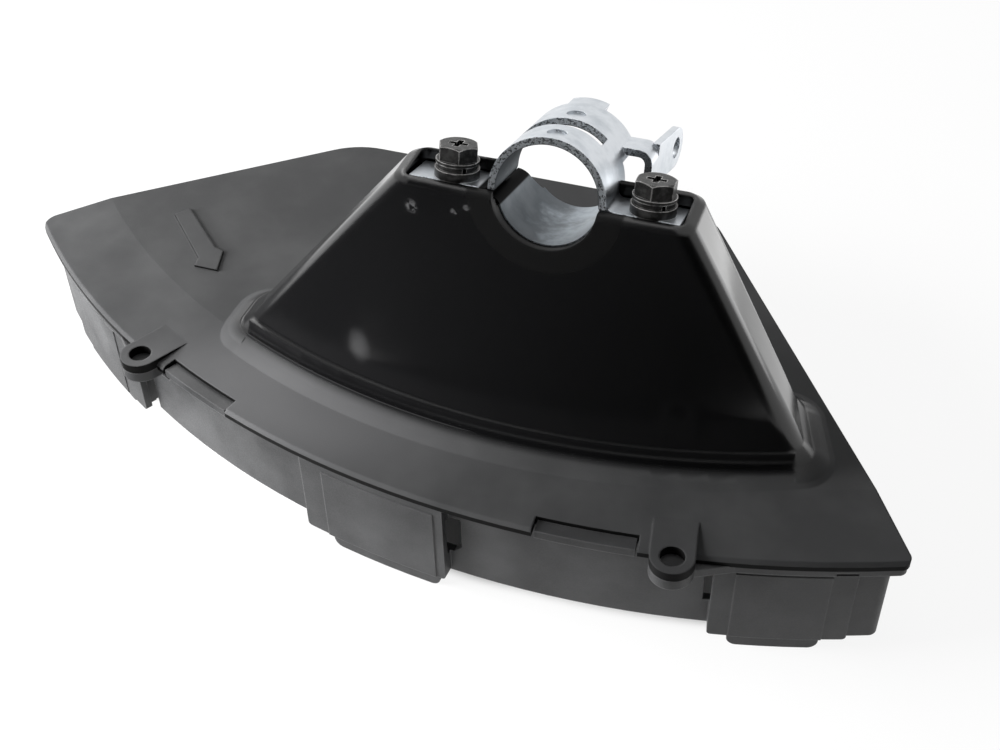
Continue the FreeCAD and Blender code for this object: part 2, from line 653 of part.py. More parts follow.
def skirt_tongue(span, r_in, r_out, z0, z1, corner):
    """Panel or tongue: a sector whose two lower corners are rounded."""
    solid = sector(r_in, r_out, along(span[0]), along(span[1]), z0, z1)
    low = []
    for edge in solid.Edges:
        ends = [v.Point for v in edge.Vertexes]
        flat = all(abs(p.z - z0) < 0.01 for p in ends)
        across = abs(ends[0].Length - ends[-1].Length) > 0.5
        if flat and across:
            low.append(edge)
    return solid.makeFillet(corner, low)


def gusset(side):
    """Web from the lug to the flange on the outer side of the ear."""
    angle = ear_angle(side)
    foot = angle + side * along(GUSSET_LENGTH)
    toe = polar(FLANGE_OUT_R - 0.3, foot)
    tip = polar(EAR_HOLE_R + 1.0, angle + side * math.degrees(EAR_HALF_W / EAR_HOLE_R) * 0.97)
    root = polar(FLANGE_OUT_R - 4.0, angle)
    inner = polar(FLANGE_OUT_R - 4.0, foot)
    web = face_of([toe, tip, root, inner])
    web.translate(FreeCAD.Vector(0, 0, LUG_BOTTOM))
    return web.extrude(FreeCAD.Vector(0, 0, EAR_BOTTOM - 0.6 - LUG_BOTTOM))


def radial_cut(outline, r_in, r_out):
    """Tool with an outline of places along the rim and heights, run outwards."""
    places = [place for place, z in outline]
    middle = (min(places) + max(places)) / 2.0
    tangent = polar(1.0, along(middle) + 90.0)
    points = [polar(r_in, along(middle), z) + tangent * (place - middle) for place, z in outline]
    return face_of(points).extrude(polar(r_out - r_in, along(middle)))


def skirt_wall():
    """Wall of the skirt: two end walls that turn inwards and a lower wall between the panels."""
    top = top_z(WALL_R) - PLATE_T - 1.0
    inner_insets = [inset + WALL_T for inset in END_INSETS]
    outer_radii = (END_RADII[0], BACK_R, BACK_R, END_RADII[1])
    inner_radii = (END_RADII[0] - WALL_T, BACK_R - WALL_T, BACK_R - WALL_T, END_RADII[1] - WALL_T)
    ends = outline_prism(END_WALL_R, END_INSETS, outer_radii, WALL_BOTTOM, top)
    ends = ends.cut(outline_prism(END_WALL_R - WALL_T, inner_insets, inner_radii, -LARGE, LARGE))
    ends = ends.cut(cylinder(END_WALL_R - RETURN_W, FreeCAD.Vector(0, 0, -LARGE), UP, 2.0 * LARGE))
    first, last = along(PANELS[0][1] - 10.0), along(PANELS[2][0] + 10.0)
    ends = ends.cut(sector(RIM_R / 2.0, 2.0 * RIM_R, first, last, -LARGE, LARGE))
    margin = along(5.0)
    middle = sector(WALL_R - WALL_T, WALL_R, first - margin, last + margin, WALL_BOTTOM, top)
    return ends.fuse(middle)


def skirt_extension(guard):
    radii = (END_RADII[0] + 2.0, BACK_R, BACK_R, CORNER_RIGHT_R)
    plan = outline_prism(FLANGE_OUT_R, RIM_INSETS, radii, -LARGE, LARGE)
    skirt = skirt_wall().fuse(flange_ring(WALL_R + 0.6, -70.0, 50.0).common(plan))
    for side in (-1, 1):
        start, end = sorted((ear_angle(side), side * 60.0))
        skirt = skirt.fuse(flange_ring(FLANGE_OUT_R, start, end).common(plan))
    for panel, tongue in zip(PANELS, TONGUES):
        skirt = skirt.fuse(skirt_tongue(panel, WALL_R - 1.0, PANEL_R, PANEL_BOTTOM, PANEL_TOP, PANEL_CORNER))
        start, end = along(tongue[0]), along(tongue[1])
        proud = PANEL_R + STRIP_PROUD
        skirt = skirt.fuse(sector(WALL_R, proud, start, end, PANEL_BOTTOM, PANEL_TOP - FLANGE_T))
        low = WALL_BOTTOM + TONGUE_CORNER
        skirt = skirt.fuse(skirt_tongue(tongue, WALL_R - 1.0, TONGUE_R, TONGUE_BOTTOM, low, TONGUE_CORNER))
    for side in (-1, 1):
        skirt = skirt.fuse(lug_plan(ear_angle(side), WALL_R - 4.0, LUG_BOTTOM, EAR_BOTTOM))
        skirt = skirt.fuse(gusset(side))
        start, end = notch_span(side, TAB_PLAY)
        skirt = skirt.fuse(sector(WALL_R - 1.0, RIM_R - 0.5, start, end, TAB_BOTTOM, TAB_TOP))
    for outline in (HOOK_SLOT, SIDE_WINDOW, SLIT):
        skirt = skirt.cut(radial_cut(outline, WALL_R - 3.0 * WALL_T, PANEL_R - PANEL_SKIN))
    skirt = skirt.cut(radial_cut(TOP_SLOT, PANEL_R - PANEL_SKIN / 2.0, EAR_HOLE_R))
    return skirt.cut(guard).removeSplitter()


def write(name, shape):
    """Move a piece to the clamp origin and save it."""
    centre = clamp_point(0.0, CLAMP_END / 2.0, 0.0)
    placed = shape.copy()
    placed.translate(centre * -1.0)
    placed.exportStep(os.path.join("parts", name + ".step"))
    solids = len(placed.Solids)
    print(name, "solids", solids, "volume", round(placed.Volume, 1), "valid", placed.isValid())


def main():
    os.makedirs("parts", exist_ok=True)
    saddle = to_guard(clamp_saddle())
    guard = guard_body(saddle)
    write("guard_body", guard)
    write("skirt_extension", skirt_extension(guard))
    write("clamp_saddle", saddle)
    write("clamp_cap", to_guard(clamp_cap()))
    seat = PARTING + SHEET
    slab_low = PARTING - SHEET - SLAB_T
    for side, centre, turn in zip(("left", "right"), screw_axes(), HEAD_TURN):
        level = seat
        write("collar_" + side, to_guard(ring(COLLAR_OD, BOLT_HOLE_D, centre, level, COLLAR_H)))
        level += COLLAR_H
        write("spring_washer_" + side, to_guard(spring_washer(centre, level)))
        level += SPRING_H
        write("plain_washer_" + side, to_guard(ring(WASHER_OD, WASHER_HOLE_D, centre, level, WASHER_H)))
        level += WASHER_H
        write("clamp_bolt_" + side, to_guard(clamp_bolt(centre, level, turn)))
        nut = hexagon(HEAD_AF, centre, slab_low - NUT_H, slab_low, 0.0)
        nut = nut.cut(local_rod(BOLT_D, centre, slab_low - NUT_H - 1.0, slab_low + 1.0))
        write("nut_" + side, to_guard(nut))


main()
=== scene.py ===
"""Looks of a trimmer blade guard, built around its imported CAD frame."""

from __future__ import annotations

import json
import logging
import math
from dataclasses import dataclass, field
from enum import Enum
from typing import Any, Dict, Tuple, Union

import bmesh
import bpy
from mathutils import Matrix, Vector

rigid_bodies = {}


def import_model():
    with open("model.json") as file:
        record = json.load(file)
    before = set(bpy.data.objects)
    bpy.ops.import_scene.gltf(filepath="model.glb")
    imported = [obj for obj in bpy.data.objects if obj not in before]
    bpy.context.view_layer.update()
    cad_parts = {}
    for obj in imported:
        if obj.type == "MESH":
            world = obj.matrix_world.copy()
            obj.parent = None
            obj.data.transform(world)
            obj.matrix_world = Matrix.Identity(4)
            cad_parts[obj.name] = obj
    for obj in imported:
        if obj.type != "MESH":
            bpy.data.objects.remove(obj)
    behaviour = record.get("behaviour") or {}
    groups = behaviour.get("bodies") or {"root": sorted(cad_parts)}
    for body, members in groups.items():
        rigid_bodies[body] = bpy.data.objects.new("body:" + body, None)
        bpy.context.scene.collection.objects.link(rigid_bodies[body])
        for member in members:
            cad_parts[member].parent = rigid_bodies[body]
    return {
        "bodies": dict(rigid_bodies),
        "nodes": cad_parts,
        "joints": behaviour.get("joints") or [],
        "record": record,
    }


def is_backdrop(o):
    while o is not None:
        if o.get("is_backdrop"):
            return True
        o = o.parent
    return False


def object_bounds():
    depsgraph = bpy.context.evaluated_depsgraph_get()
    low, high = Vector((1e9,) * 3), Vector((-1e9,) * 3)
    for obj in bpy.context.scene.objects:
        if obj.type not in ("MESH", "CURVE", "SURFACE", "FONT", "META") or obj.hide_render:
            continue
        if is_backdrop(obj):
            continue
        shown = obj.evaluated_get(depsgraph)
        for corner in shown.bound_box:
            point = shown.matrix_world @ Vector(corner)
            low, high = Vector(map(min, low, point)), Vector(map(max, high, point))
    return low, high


LOG = logging.getLogger("blade_guard")
MM = 0.001
TUBE_TILT = math.radians(14.4)
TUBE_AXIS = (0.0, -math.cos(TUBE_TILT), math.sin(TUBE_TILT))
TUBE_UP = (0.0, math.sin(TUBE_TILT), math.cos(TUBE_TILT))
ORIGIN = (0.0, 0.0, 0.0)
WHITE = (1.0, 1.0, 1.0, 1.0)
EDGE_SAMPLES = 6
EDGE_TURN = (0.99, 0.86)
ROUNDING_SAMPLES = 4
SPOT_CORE = 0.2

Colour = Tuple[float, float, float]
Point = Tuple[float, float, float]
Span = Tuple[float, float]
Spot = Tuple[Point, Point]
Value = Union[int, float, Tuple[float, ...], "Sock"]


class Side(Enum):
    """The two clamp screws, seen from the rim."""

    LEFT = "left"
    RIGHT = "right"


@dataclass(frozen=True)
class Pattern:
    """Noise: its repeats per metre, its octaves and the strength of the finer ones."""

    scale: float
    detail: float
    rough: float


@dataclass(frozen=True)
class Relief:
    """Bump: its strength, and its height and the rounding of shaded edges in millimetres."""

    strength: float
    height: float
    rounding: float


class Sock:
    """A shader socket that takes part in arithmetic."""

    def __init__(self, shade: "Shade", socket: bpy.types.NodeSocket) -> None:
        """Keep the socket and the node tree it belongs to."""
        self.shade = shade
        self.socket = socket

    def _with(self, operation: str, first: Value, second: Value) -> "Sock":
        """Add one Math node.

        Args:
            operation: Name of the Math node's operation.
            first: Left operand.
            second: Right operand.

        Returns:
            The result's socket.
        """
        return self.shade.node("ShaderNodeMath", {"operation": operation}, {0: first, 1: second})

    def __add__(self, other: Value) -> "Sock":
        """Sum of two values."""
        return self._with("ADD", self, other)

    def __radd__(self, other: Value) -> "Sock":
        """Sum with a number on the left."""
        return self._with("ADD", other, self)

    def __sub__(self, other: Value) -> "Sock":
        """Difference of two values."""
        return self._with("SUBTRACT", self, other)

    def __rsub__(self, other: Value) -> "Sock":
        """Difference with a number on the left."""
        return self._with("SUBTRACT", other, self)

    def __mul__(self, other: Value) -> "Sock":
        """Product of two values."""
        return self._with("MULTIPLY", self, other)

    def __rmul__(self, other: Value) -> "Sock":
        """Product with a number on the left."""
        return self._with("MULTIPLY", other, self)

    def __truediv__(self, other: Value) -> "Sock":
        """Quotient of two values."""
        return self._with("DIVIDE", self, other)

    def __rtruediv__(self, other: Value) -> "Sock":
        """Quotient with a number on the left."""
        return self._with("DIVIDE", other, self)

    def __pow__(self, other: Value) -> "Sock":
        """Power of two values."""
        return self._with("POWER", self, other)

    def most(self, other: Value) -> "Sock":
        """Larger of two values."""
        return self._with("MAXIMUM", self, other)

    def size(self) -> "Sock":
        """Value without its sign."""
        return self._with("ABSOLUTE", self, 0.0)


class Shade:
    """Node tree of one material or of the surroundings."""

    def __init__(self, owner: Union[bpy.types.Material, bpy.types.World]) -> None:
        """Start from an empty tree.

        Args:
            owner: Material or world that the tree belongs to.
        """
        self.owner = owner
        owner.use_nodes = True
        self.tree = owner.node_tree
        self.tree.nodes.clear()

    @classmethod
    def named(cls, name: str) -> "Shade":
        """Tree of a new material."""
        return cls(bpy.data.materials.new(name))

    def node(self, kind: str, settings: Dict[str, Any], inputs: Dict[Any, Value], out: Any = 0) -> Sock:
        """Add any node.

        Args:
            kind: Blender's name of the node type.
            settings: Attributes, which are set first.
            inputs: Values or links of the input sockets, by name or number.
            out: Name or number of the output that is wanted.

        Returns:
            The wanted output, or the first input of a node that has no output.
        """
        made = self.tree.nodes.new(kind)
        for key, value in settings.items():
            setattr(made, key, value)
        for key, value in inputs.items():
            if isinstance(value, Sock):
                self.tree.links.new(value.socket, made.inputs[key])
            else:
                made.inputs[key].default_value = value
        return Sock(self, made.outputs[out]) if len(made.outputs) else Sock(self, made.inputs[0])

    def place(self) -> Sock:
        """Object coordinates, which are the part's own frame in metres."""
        return self.node("ShaderNodeTexCoord", {}, {}, "Object")

    def axis_of(self, vector: Sock, name: str) -> Sock:
        """One component of a vector."""
        return self.node("ShaderNodeSeparateXYZ", {}, {0: vector}, name)

    def facing(self) -> Sock:
        """Direction that the flat face points in."""
        return self.node("ShaderNodeNewGeometry", {}, {}, "True Normal")

    def vector(self, operation: str, first: Value, second: Value = ORIGIN, out: str = "Vector") -> Sock:
        """Add one Vector Math node.

        Args:
            operation: Name of the node's operation.
            first: Left operand.
            second: Right operand, if the operation has one.
            out: Name of the output, "Vector" or "Value".

        Returns:
            The result's socket.
        """
        return self.node("ShaderNodeVectorMath", {"operation": operation}, {0: first, 1: second}, out)

    def dot(self, vector: Sock, direction: Value) -> Sock:
        """Reach of a vector along a direction."""
        return self.vector("DOT_PRODUCT", vector, direction, "Value")

    def noise(self, vector: Sock, pattern: Pattern) -> Sock:
        """Noise value from 0 to 1.

        Args:
            vector: Coordinates.
            pattern: Kind of noise.

        Returns:
            The noise.
        """
        inputs = {"Vector": vector, "Scale": pattern.scale}
        inputs.update({"Detail": pattern.detail, "Roughness": pattern.rough})
        return self.node("ShaderNodeTexNoise", {}, inputs)

    def ramp(self, value: Sock, low: float, high: float, start: float = 0.0, end: float = 1.0) -> Sock:
        """Smooth step of a value.

        Args:
            value: Value to map.
            low: Value that gives start.
            high: Value that gives end.
            start: Result at and before low.
            end: Result at and after high.

        Returns:
            The mapped value.
        """
        settings = {"interpolation_type": "SMOOTHSTEP", "clamp": True}
        return self.node("ShaderNodeMapRange", settings, {0: value, 1: low, 2: high, 3: start, 4: end})

    def mix(self, share: Value, first: Value, second: Value) -> Sock:
        """Blend of two colours.

        Args:
            share: Amount of the second colour.
            first: Colour or socket.
            second: Colour or socket.

        Returns:
            The blended colour.
        """
        inputs = {0: share, 6: self._rgba(first), 7: self._rgba(second)}
        return self.node("ShaderNodeMix", {"data_type": "RGBA"}, inputs, 2)

    @staticmethod
    def _rgba(colour: Value) -> Value:
        """A colour with its alpha, or the socket as it is."""
        return colour if isinstance(colour, Sock) else (*colour, 1.0)

    def near(self, place: Sock, centre: Point, reach: Point) -> Sock:
        """Soft spot that is 1 at a centre and 0 past its reach.

        Args:
            place: Coordinates in metres.
            centre: Centre in millimetres.
            reach: Half sizes in millimetres along X, Y and Z.

        Returns:
            The spot's strength.
        """
        shift = self.vector("SUBTRACT", place, millimetres(centre))
        scaled = self.vector("DIVIDE", shift, millimetres(reach))
        length = self.vector("LENGTH", scaled, out="Value")
        return self.ramp(length, 1.0, SPOT_CORE)

    def off_axis(self, place: Sock) -> Tuple[Sock, Sock, Sock]:
        """Place seen along the shaft tube.

        Args:
            place: Coordinates in metres.

        Returns:
            Distance across the tube, distance up from its axis, and the two together.
        """
        across = self.axis_of(place, "X")
        up = self.dot(place, TUBE_UP)
        return across, up, (across * across + up * up) ** 0.5

    def worn_edges(self, reach: float) -> Sock:
        """Strength of a rounded edge, from the turn of the normal near it.

        Args:
            reach: Radius of the rounding in millimetres.

        Returns:
            A mask that is 0 on flats.
        """
        rounded = self.node("ShaderNodeBevel", {"samples": EDGE_SAMPLES}, {"Radius": reach * MM})
        flat = self.node("ShaderNodeNewGeometry", {}, {}, "Normal")
        return self.ramp(self.dot(rounded, flat), *EDGE_TURN)

    def bump(self, height: Sock, relief: Relief) -> Sock:
        """Normal from a height on softly rounded edges.

        Args:
            height: Height value.
            relief: Strength, height and rounding.

        Returns:
            The normal.
        """
        settings = {"samples": ROUNDING_SAMPLES}
        rounded = self.node("ShaderNodeBevel", settings, {"Radius": relief.rounding * MM})
        inputs = {"Height": height, "Strength": relief.strength, "Distance": relief.height * MM}
        inputs["Normal"] = rounded
        return self.node("ShaderNodeBump", {}, inputs)

    def principled(self, inputs: Dict[str, Value]) -> Sock:
        """Principled shader with these values or links."""
        return self.node("ShaderNodeBsdfPrincipled", {}, inputs)

    def matt(self, colour: Colour, specular: float) -> Sock:
        """Even shader with hardly any shine."""
        return self.principled({"Base Color": (*colour, 1.0), "Specular IOR Level": specular})

    def diffuse(self, colour: Colour) -> Sock:
        """Even shader with no shine at all."""
        return self.node("ShaderNodeBsdfDiffuse", {}, {"Color": (*colour, 1.0)})

    def blend(self, share: Sock, first: Sock, second: Sock) -> Sock:
        """Mix of two shaders.

        Args:
            share: Amount of the second shader.
            first: Shader.
            second: Shader.

        Returns:
            The mixed shader.
        """
        return self.node("ShaderNodeMixShader", {}, {0: share, 1: first, 2: second})

    def close(self, surface: Sock) -> bpy.types.Material:
        """End the tree.

        Args:
            surface: Shader that is shown.

        Returns:
            The material.
        """
        self.node("ShaderNodeOutputMaterial", {}, {"Surface": surface})
        return self.owner

    def seen_white(self) -> Sock:
        """1 for the rays that show the white background: the eye's, mirrored and passed on."""
        kinds = ("Is Camera Ray", "Is Glossy Ray", "Is Transmission Ray")
        rays = [self.node("ShaderNodeLightPath", {}, {}, kind) for kind in kinds]
        return rays[0].most(rays[1]).most(rays[2])


def millimetres(values: Tuple[float, ...]) -> Tuple[float, ...]:
    """Millimetres turned into metres."""
    return tuple(value * MM for value in values)


@dataclass(frozen=True)
class GuardPlastic:
    """Black moulding: a grained satin plate that turns into a polished tower, in millimetres."""

    deep: Colour = (0.029, 0.0293, 0.030)
    dusty: Colour = (0.045, 0.0454, 0.046)
    tower: Colour = (0.0028, 0.0028, 0.003)
    # Tone of the rubbed marks on the tower, and also of the painted light on the rim band.
    rubbed: Colour = (0.085, 0.085, 0.087)
    # Colour of painted shade on the plate's upright faces, such as the rim's side face and the arrow's
    # sides.
    side: Colour = (0.004, 0.004, 0.004)
    cloud: Pattern = Pattern(22.0, 4.0, 0.6)
    cloud_span: Span = (0.35, 0.75)
    grain: Pattern = Pattern(2600.0, 2.0, 0.6)
    grain_span: Span = (0.3, 0.7)
    satin_rough: Span = (0.45, 0.56)
    satin_relief: Relief = Relief(0.4, 0.08, 0.8)
    satin_specular: float = 0.08
    gloss_span: Span = (0.3, 0.8)
    tower_rough: Span = (0.13, 0.21)
    tower_relief: Relief = Relief(0.5, 0.3, 1.4)
    tower_waves: float = 0.1
    tower_specular: float = 0.5
    # Shine of that painted shade, kept low so those faces stay black.
    side_specular: float = 0.05
    upright_span: Span = (0.5, 0.2)
    plate_top: float = -78.77
    polish_start: float = 0.5
    polish_full: float = 3.6
    foot_line: float = 3.2
    line_width: float = 0.35
    line_fade: Span = (-5.0, -30.0)
    # The cradle's lip round the tube and the tower's right toe are painted in shade in place of their
    # reflections.
    lip_end: float = 22.0
    lip_soft: float = 1.2
    lip_shade: float = 0.8
    broken: Pattern = Pattern(700.0, 3.0, 0.7)
    broken_span: Span = (0.38, 0.62)
    scuffs: Tuple[Spot, ...] = (
        ((-37.2, -18.2, -5.2), (2.6, 4.0, 3.0)),
        ((-24.4, -19.0, -3.8), (1.6, 4.0, 1.6)),
        ((-20.7, -19.1, -1.6), (1.8, 4.0, 1.4)),
    )
    scuff_share: float = 0.5
    scuff_rough: float = 0.3
    smudge: Spot = ((-57.2, -18.7, -59.6), (5.0, 9.0, 7.5))
    smudge_share: float = 0.18
    # Spot of painted shade on the tower's right toe, and its strength.
    shaded_toe: Spot = ((82.0, 6.0, -76.0), (20.0, 30.0, 12.0))
    toe_shade: float = 0.9
    # Painted light: the left part of the sloping rim band is lightened where the light falls on it.
    lit_band: Spot = ((-76.0, -28.0, -80.0), (84.0, 38.0, 6.0))
    lit_band_share: float = 0.6

    def material(self) -> bpy.types.Material:
        """Make the finish.

        Returns:
            The material.
        """
        shade = Shade.named("guard_plastic")
        place = shade.place()
        height = shade.axis_of(place, "Z")
        low = (self.plate_top + self.polish_start) * MM
        polish = shade.ramp(height, low, (self.plate_top + self.polish_full) * MM)
        cloud = shade.noise(place, self.cloud)
        # Shader of painted shade, for the plate's upright faces and for the cradle's lip and the tower's
        # right toe.
        dark = shade.matt(self.side, self.side_specular)
        # Mask of the plate's upright faces, which take the painted shade.
        upright = shade.ramp(shade.axis_of(shade.facing(), "Z").size(), *self.upright_span)
        plate = shade.blend(upright, self._satin(shade, place, cloud), dark)
        tower = self._polished(shade, place, cloud, self._foot_ridge(shade, place, height))
        lip = shade.ramp(shade.off_axis(place)[2], self.lip_end * MM, (self.lip_end - self.lip_soft) * MM)
        # Painted shade on the cradle's lip and the tower's right toe, mixed in as the dark shader.
        dull = (lip * self.lip_shade).most(shade.near(place, *self.shaded_toe) * self.toe_shade)
        return shade.close(shade.blend(polish, plate, shade.blend(dull, tower, dark)))

    def _foot_ridge(self, shade: Shade, place: Sock, height: Sock) -> Sock:
        """Fine raised line along the left part of the tower's foot.

        Args:
            shade: Node tree.
            place: Coordinates.
            height: Height in metres.

        Returns:
            Height of the line.
        """
        line = (self.plate_top + self.foot_line) * MM
        ridge = shade.ramp((height - line).size(), self.line_width * MM, 0.0)
        return ridge * shade.ramp(shade.axis_of(place, "X"), *millimetres(self.line_fade))

    def _satin(self, shade: Shade, place: Sock, cloud: Sock) -> Sock:
        """Grained finish of the plate, with painted light on the left part of the rim band.

        Args:
            shade: Node tree.
            place: Coordinates.
            cloud: Broad variation.

        Returns:
            The shader.
        """
        grain = shade.noise(place, self.grain)
        colour = shade.mix(shade.ramp(cloud, *self.cloud_span), self.deep, self.dusty)
        # Painted light on the left part of the rim band.
        colour = shade.mix(shade.near(place, *self.lit_band) * self.lit_band_share, colour, self.rubbed)
        rough = shade.ramp(grain, *self.grain_span, *self.satin_rough)
        normal = shade.bump(grain, self.satin_relief)
        inputs = {"Base Color": colour, "Roughness": rough, "Normal": normal}
        inputs["Specular IOR Level"] = self.satin_specular
        return shade.principled(inputs)

    def _polished(self, shade: Shade, place: Sock, cloud: Sock, ridge: Sock) -> Sock:
        """Smooth finish of the tower with a few rubbed marks.

        Args:
            shade: Node tree.
            place: Coordinates.
            cloud: Broad variation.
            ridge: Height of the fine line along the foot.

        Returns:
            The shader.
        """
        scuff = self._scuffs(shade, place)
        colour = shade.mix(scuff * self.scuff_share, self.tower, self.rubbed)
        colour = shade.mix(shade.near(place, *self.smudge) * self.smudge_share, colour, self.rubbed)
        gloss = shade.ramp(cloud, *self.gloss_span, *self.tower_rough)
        normal = shade.bump(cloud * self.tower_waves + ridge, self.tower_relief)
        inputs = {"Base Color": colour, "Roughness": gloss + scuff * self.scuff_rough, "Normal": normal}
        inputs["Specular IOR Level"] = self.tower_specular
        return shade.principled(inputs)

    def _scuffs(self, shade: Shade, place: Sock) -> Sock:
        """Small rubbed marks on the tower.

        Args:
            shade: Node tree.
            place: Coordinates.

        Returns:
            Strength of the marks.
        """
        broken = shade.ramp(shade.noise(place, self.broken), *self.broken_span)
        marks = [shade.near(place, centre, reach) * broken for centre, reach in self.scuffs]
        strongest = marks[0]
        for mark in marks[1:]:
            strongest = strongest.most(mark)
        return strongest


@dataclass(frozen=True)
class SkirtPlastic:
    """Greyer satin moulding with a fine grain, and edges lightened partly by wear and partly by painted
    highlight.
    """

    deep: Colour = (0.016, 0.0162, 0.0168)
    dusty: Colour = (0.038, 0.0384, 0.0395)
    # Lighter edges: partly wear, partly painted highlight.
    edge_wear_and_highlight: Colour = (0.12, 0.12, 0.122)
    worn_reach: float = 0.8
    edge_wear_and_highlight_share: float = 0.35
    cloud: Pattern = Pattern(30.0, 4.0, 0.6)
    cloud_span: Span = (0.3, 0.75)
    grain: Pattern = Pattern(2400.0, 2.0, 0.6)
    grain_span: Span = (0.3, 0.7)
    rough: Span = (0.45, 0.57)
    relief: Relief = Relief(0.35, 0.08, 0.5)
    specular: float = 0.45

    def material(self) -> bpy.types.Material:
        """Make the finish.

        Returns:
            The material.
        """
        shade = Shade.named("skirt_plastic")
        place = shade.place()
        grain = shade.noise(place, self.grain)
        cloud = shade.noise(place, self.cloud)
        colour = shade.mix(shade.ramp(cloud, *self.cloud_span), self.deep, self.dusty)
        # Edges lightened partly by wear and partly by painted highlight.
        colour = shade.mix(shade.worn_edges(self.worn_reach) * self.edge_wear_and_highlight_share, colour, self.edge_wear_and_highlight)
        rough = shade.ramp(grain, *self.grain_span, *self.rough)
        normal = shade.bump(grain, self.relief)
        inputs = {"Base Color": colour, "Roughness": rough, "Normal": normal}
        inputs["Specular IOR Level"] = self.specular
        return shade.close(shade.principled(inputs))


@dataclass(frozen=True)
class ZincSheet:
    """Bluish zinc plating on bent sheet, torn and mottled where it was sheared, in millimetres."""

    bright: Colour = (0.66, 0.69, 0.725)
    dull: Colour = (0.50, 0.535, 0.57)
    sheared: Colour = (0.74, 0.78, 0.82)
    burr: Colour = (0.06, 0.067, 0.078)
    # Bore colours: painted shade, dark on the left where the cap shades it and lighter on the right.
    inside_left: Colour = (0.042, 0.053, 0.063)
    inside_right: Colour = (0.36, 0.40, 0.435)
    # Colour and shine of painted shade in the grooves and in the gap at the saddle's left bend.
    groove: Colour = (0.005, 0.005, 0.0055)
    groove_specular: float = 0.02
    cloud: Pattern = Pattern(120.0, 5.0, 0.6)
    cloud_span: Span = (0.35, 0.7)
    speck: Pattern = Pattern(1300.0, 3.0, 0.6)
    streak: Pattern = Pattern(22.0, 3.0, 0.6)
    streak_squeeze: float = 70.0
    end_span: Span = (0.9, 0.98)
    sheared_share: float = 0.8
    bore: float = 14.0
    bore_soft: Span = (0.3, 0.8)
    groove_end: float = 18.6
    groove_soft: float = 0.8
    inward_span: Span = (-0.1, -0.3)
    # Spread, strength and wavering edge of the bore's painted shade.
    inside_span: Span = (-6.0, 11.0)
    inside_share: float = 0.92
    shade_wobble: float = 40.0
    bend_low: Span = (-5.6, -5.0)
    bend_high: Span = (-0.6, -0.8)
    bend_side: Span = (-10.0, -11.5)
    dark_edge: float = 0.35
    torn_mix: Span = (0.6, 0.4)
    torn_span: Span = (0.50, 0.56)
    torn_share: float = 0.85
    rough_span: Span = (0.3, 0.75)
    rough: Span = (0.28, 0.42)
    torn_rough: float = 0.25
    bore_rough: float = 0.12
    cloud_height: float = 0.4
    speck_height: float = 0.1
    relief: Relief = Relief(0.45, 0.3, 0.4)

    def material(self) -> bpy.types.Material:
        """Make the finish.

        Returns:
            The material.
        """
        shade = Shade.named("zinc_sheet")
        place = shade.place()
        facing = shade.facing()
        end_face = shade.ramp(shade.dot(facing, TUBE_AXIS).size(), *self.end_span)
        radius, streak = self._round_tube(shade, place)
        cloud = shade.noise(place, self.cloud)
        speck = shade.noise(place, self.speck)
        bore, groove = self._inner_faces(shade, place, facing, radius)
        torn = self._torn(shade, end_face, radius, streak, speck)
        colour = shade.mix(shade.ramp(cloud, *self.cloud_span), self.bright, self.dull)
        colour = shade.mix(end_face * self.sheared_share, colour, self.sheared)
        # The bore is painted in shade, darkest towards its left.
        colour = shade.mix(bore * self.inside_share, colour, self._bore_shade(shade, place, cloud))
        colour = shade.mix(torn * self.torn_share, colour, self.burr)
        rough = shade.ramp(cloud, *self.rough_span, *self.rough)
        rough = rough + torn * self.torn_rough + bore * self.bore_rough
        relief = cloud * self.cloud_height + speck * self.speck_height + streak * end_face
        normal = shade.bump(relief, self.relief)
        inputs = {"Base Color": colour, "Roughness": rough, "Metallic": 1.0, "Normal": normal}
        # Painted shade in the grooves and at the saddle's left bend.
        groove_shade = shade.matt(self.groove, self.groove_specular)
        return shade.close(shade.blend(groove, shade.principled(inputs), groove_shade))

    def _bore_shade(self, shade: Shade, place: Sock, cloud: Sock) -> Sock:
        """Colour of the bore as painted shade, darkest towards its left.

        Args:
            shade: Node tree.
            place: Coordinates.
            cloud: Broad variation.

        Returns:
            The colour.
        """
        side = shade.axis_of(place, "X") + (cloud - 0.5) * (self.shade_wobble * MM)
        share = shade.ramp(side, *millimetres(self.inside_span))
        return shade.mix(share, self.inside_left, self.inside_right)

    def _torn(self, shade: Shade, end_face: Sock, radius: Sock, streak: Sock, speck: Sock) -> Sock:
        """Dark torn patches of the sheared faces, and their dark inner edge.

        Args:
            shade: Node tree.
            end_face: 1 on the sheared faces.
            radius: Distance from the tube's axis.
            streak: Patches drawn out along that distance.
            speck: Fine specks.

        Returns:
            Strength of the patches.
        """
        broad, fine = self.torn_mix
        patches = shade.ramp(streak * broad + speck * fine, *self.torn_span)
        edge = shade.ramp(radius, (self.bore + self.dark_edge) * MM, self.bore * MM)
        return (end_face * patches).most(end_face * edge)

    def _inner_faces(self, shade: Shade, place: Sock, facing: Sock, radius: Sock) -> Tuple[Sock, Sock]:
        """Bore, which is duller and painted in shade, and the grooves where the two sheets bend away from
        it, also painted in shade.

        Args:
            shade: Node tree.
            place: Coordinates.
            facing: Normal of the face.
            radius: Distance from the tube's axis.

        Returns:
            The two masks.
        """
        across, up, _ = shade.off_axis(place)
        sideways = across * shade.axis_of(facing, "X")
        upward = up * shade.dot(facing, TUBE_UP)
        inward = shade.ramp((sideways + upward) / radius, *self.inward_span)
        wide = shade.ramp(radius, *[(self.bore + soft) * MM for soft in self.bore_soft])
        near = shade.ramp(radius, (self.groove_end + self.groove_soft) * MM, self.groove_end * MM)
        bend = shade.ramp(across, *millimetres(self.bend_side))
        for span in (self.bend_low, self.bend_high):
            bend = bend * shade.ramp(up, *millimetres(span))
        return inward * (1.0 - wide), (inward * wide).most(bend) * near

